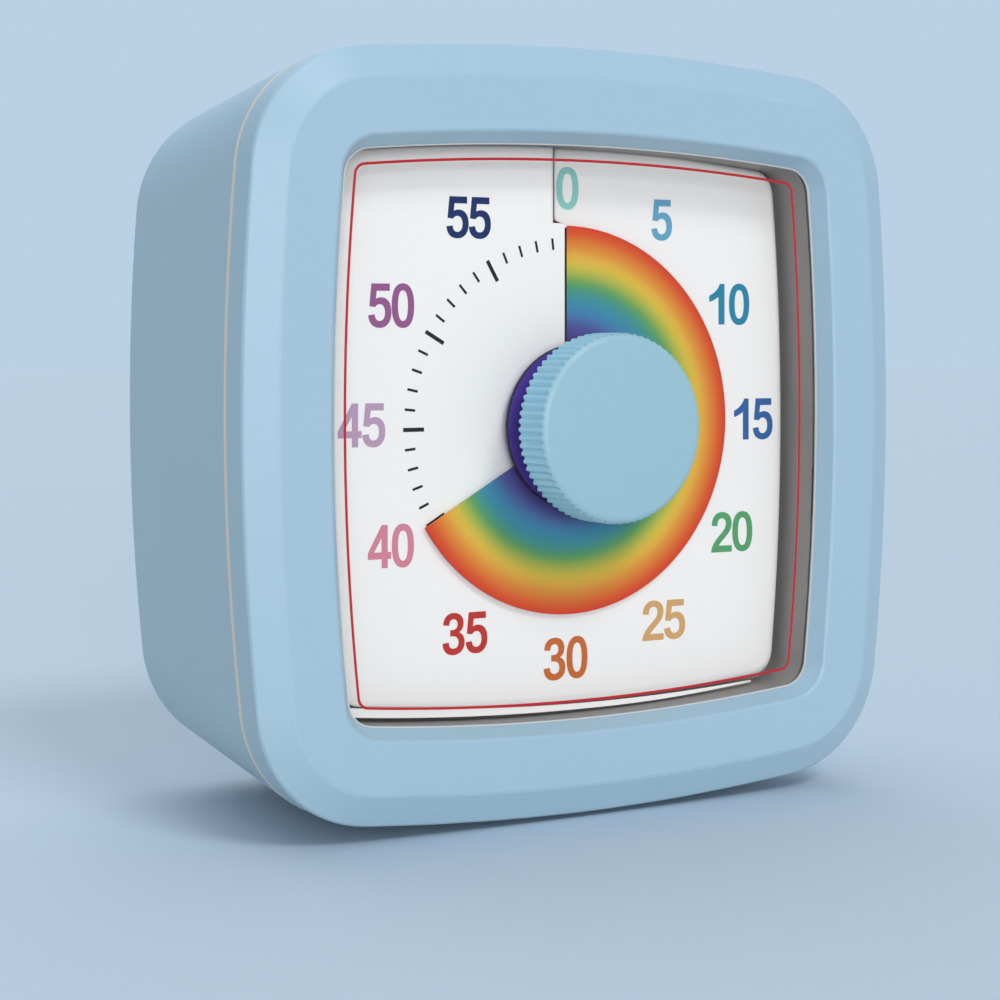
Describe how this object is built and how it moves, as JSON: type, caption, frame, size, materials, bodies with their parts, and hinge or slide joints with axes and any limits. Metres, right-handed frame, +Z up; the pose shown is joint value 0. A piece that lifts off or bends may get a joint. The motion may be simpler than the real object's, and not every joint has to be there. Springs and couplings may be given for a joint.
{
  "type": "visual countdown timer",
  "caption": "Square pillow-shaped 60-minute visual countdown timer with a ribbed knob, a coloured disc that slides out of the dial's slit, a clear lens and a battery bay.",
  "frame": {"origin": "on the ground, under the middle of the timer's bounding box", "axes": "+Z up, the dial and knob face -Y, +X to the right seen from the front"},
  "size_m": [0.086, 0.049, 0.0866],
  "materials": {
    "case_blue": "moulded, satin",
    "seam_cream": "moulded",
    "clear_lens": "clear acrylic, thin red printed border",
    "tray_grey": "moulded, fine grain",
    "dial_white": "printed sheet",
    "disc_print": "sheet printed with rings of rainbow colour",
    "hub_purple": "printed",
    "movement_white": "moulded",
    "gear_plastic": "natural acetal",
    "steel": "turned",
    "spring_steel": "nickel plated",
    "screw_zinc": "zinc plated",
    "brass": "turned and stamped",
    "copper_wire": "wound enamelled wire",
    "magnet": "sintered",
    "board_green": "solder mask",
    "chip_black": "epoxy",
    "crystal_can": "drawn can",
    "cell_sleeve": "plain sleeve",
    "buzzer_black": "moulded",
    "foam": "foam ring",
    "switch_white": "moulded",
    "foot_rubber": "moulded pads"
  },
  "bodies": {
    "case": {"battery_cell": "cell_sleeve", "battery_spring": "spring_steel", "button_plate": "spring_steel", "buzzer": "buzzer_black", "buzzer_foam": "foam", "case_screws": "screw_zinc", "circuit_board": "board_green", "coil": "copper_wire", "contact_leaf": "brass", "dial_face": "dial_white", "dial_tray": "tray_grey", "fixed_contact": "brass", "front_bezel": "case_blue", "front_foot_left": "foot_rubber", "front_foot_right": "foot_rubber", "lens": "clear_lens", "lens_gasket": "seam_cream", "movement_case": "movement_white", "movement_plate": "movement_white", "movement_screws": "screw_zinc", "quartz_crystal": "crystal_can", "rear_foot_left": "foot_rubber", "rear_foot_right": "foot_rubber", "rear_housing": "case_blue", "seam_band": "seam_cream", "shaft_bush": "brass", "spring_plate": "spring_steel", "stator": "steel", "switch_body": "buzzer_black", "timer_chip": "chip_black", "tray_screws": "screw_zinc"},
    "knob": {"knob": "case_blue", "knob_shaft": "steel", "hub_cap": "hub_purple", "alarm_cam": "gear_plastic", "clutch_spring": "spring_steel"},
    "disc": {"rainbow_disc": "disc_print"},
    "hour_wheel": {"hour_wheel": "gear_plastic"},
    "third_wheel": {"third_wheel": "gear_plastic"},
    "second_wheel": {"second_wheel": "gear_plastic"},
    "first_wheel": {"first_wheel": "gear_plastic"},
    "rotor": {"rotor_pinion": "gear_plastic", "rotor_magnet": "magnet"},
    "battery_door": {"battery_door": "case_blue"},
    "sound_switch": {"sound_switch": "switch_white"}
  },
  "joints": [
    {"name": "knob_turn", "type": "hinge", "parent": "case", "child": "knob", "pos_m": [0, -0.01955, 0.0444], "axis": [0, 1, 0], "range_deg": [-240, 120]},
    {"name": "disc_slide", "type": "slide", "parent": "knob", "child": "disc", "axis": [0, -1, 0], "range_m": [-0.00101, 0.00051]},
    {"name": "rotor_turn", "type": "hinge", "parent": "case", "child": "rotor", "pos_m": [-0.00893, 0, 0.04646], "axis": [0, 1, 0], "continuous": true},
    {"name": "first_wheel_turn", "type": "hinge", "parent": "case", "child": "first_wheel", "pos_m": [-0.00684, 0, 0.05221], "axis": [0, 1, 0], "continuous": true},
    {"name": "second_wheel_turn", "type": "hinge", "parent": "case", "child": "second_wheel", "pos_m": [0.00025, 0, 0.05346], "axis": [0, 1, 0], "continuous": true},
    {"name": "third_wheel_turn", "type": "hinge", "parent": "case", "child": "third_wheel", "pos_m": [0.00786, 0, 0.04991], "axis": [0, 1, 0], "continuous": true},
    {"name": "hour_wheel_turn", "type": "hinge", "parent": "case", "child": "hour_wheel", "pos_m": [0, 0, 0.0444], "axis": [0, 1, 0], "continuous": true},
    {"name": "battery_door_hinge", "type": "hinge", "parent": "case", "child": "battery_door", "pos_m": [0, 0.02445, 0.01085], "axis": [-1, 0, 0], "range_deg": [0, 100]},
    {"name": "sound_switch_slide", "type": "slide", "parent": "case", "child": "sound_switch", "axis": [1, 0, 0], "range_m": [-0.0015, 0.0015]}
  ],
  "couplings": [
    {"joint": "disc_slide", "follows": "knob_turn", "m_per_rad": 0.00023873},
    {"joint": "first_wheel_turn", "follows": "rotor_turn", "ratio": -0.13333},
    {"joint": "second_wheel_turn", "follows": "rotor_turn", "ratio": 0.016667},
    {"joint": "third_wheel_turn", "follows": "rotor_turn", "ratio": -0.0027778},
    {"joint": "hour_wheel_turn", "follows": "rotor_turn", "ratio": 0.00055556}
  ]
}
